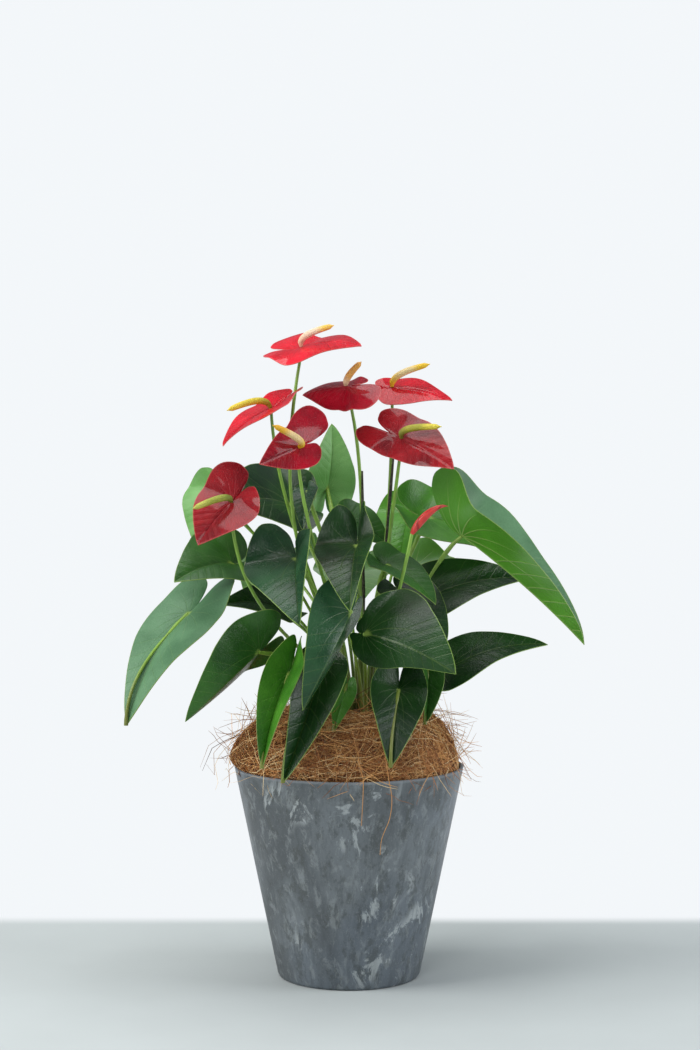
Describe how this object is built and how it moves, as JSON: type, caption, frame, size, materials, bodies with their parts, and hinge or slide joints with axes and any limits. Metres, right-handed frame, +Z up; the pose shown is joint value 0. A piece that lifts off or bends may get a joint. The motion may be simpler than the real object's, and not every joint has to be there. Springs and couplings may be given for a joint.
{
  "type": "potted anthurium plant",
  "caption": "Flowering anthurium with glossy heart-shaped leaves, red spathes and yellow spadices, in a tapered marbled grey faux-stone planter dressed with coconut coir.",
  "frame": {"origin": "centre of the planter's underside, on the surface it stands on", "axes": "+Z up; -Y towards the viewer of the plant's best side; +X to that viewer's right"},
  "size_m": [0.5488, 0.4764, 0.7938],
  "materials": {
    "faux_stone": "matte blue-grey moulded resin with whitish marbled streaks and faint vertical brushing",
    "soil": "dark crumbly peat",
    "coir": "tangled reddish-brown coconut fibre",
    "woody_crown": "rough brown leaf bases",
    "leaf_green": "glossy dark green with pale veins and a thin yellow-green rim",
    "stem_green": "smooth satin green",
    "spathe_red": "waxy glossy red with embossed veins",
    "spadix_yellow": "fine-grained matte cream to yellow",
    "stake_bark": "dark dry stick"
  },
  "bodies": {
    "root": {"planter": "faux_stone", "potting_soil": "soil", "root_crown": "woody_crown", "coir_dressing": "coir", "leaf_01": "leaf_green", "leaf_02": "leaf_green", "leaf_03": "leaf_green", "leaf_04": "leaf_green", "leaf_05": "leaf_green", "leaf_06": "leaf_green", "leaf_07": "leaf_green", "leaf_08": "leaf_green", "leaf_09": "leaf_green", "leaf_10": "leaf_green", "leaf_11": "leaf_green", "leaf_12": "leaf_green", "leaf_13": "leaf_green", "leaf_14": "leaf_green", "leaf_15": "leaf_green", "leaf_16": "leaf_green", "leaf_17": "leaf_green", "leaf_18": "leaf_green", "leaf_19": "leaf_green", "leaf_20": "leaf_green", "leaf_21": "leaf_green", "leaf_22": "leaf_green", "leaf_23": "leaf_green", "leaf_24": "leaf_green", "leaf_25": "leaf_green", "leaf_26": "leaf_green", "leaf_27": "leaf_green", "leaf_28": "leaf_green", "bloom_1_stem": "stem_green", "bloom_1_spathe": "spathe_red", "bloom_1_spadix": "spadix_yellow", "bloom_2_stem": "stem_green", "bloom_2_spathe": "spathe_red", "bloom_2_spadix": "spadix_yellow", "bloom_3_stem": "stem_green", "bloom_3_spathe": "spathe_red", "bloom_3_spadix": "spadix_yellow", "bloom_4_stem": "stem_green", "bloom_4_spathe": "spathe_red", "bloom_4_spadix": "spadix_yellow", "bloom_5_stem": "stem_green", "bloom_5_spathe": "spathe_red", "bloom_5_spadix": "spadix_yellow", "bloom_6_stem": "stem_green", "bloom_6_spathe": "spathe_red", "bloom_6_spadix": "spadix_yellow", "bloom_7_stem": "stem_green", "bloom_7_spathe": "spathe_red", "bloom_7_spadix": "spadix_yellow", "bud_stem": "stem_green", "bud_spathe": "spathe_red", "stake_1": "stake_bark", "stake_2": "stake_bark"}
  },
  "joints": []
}
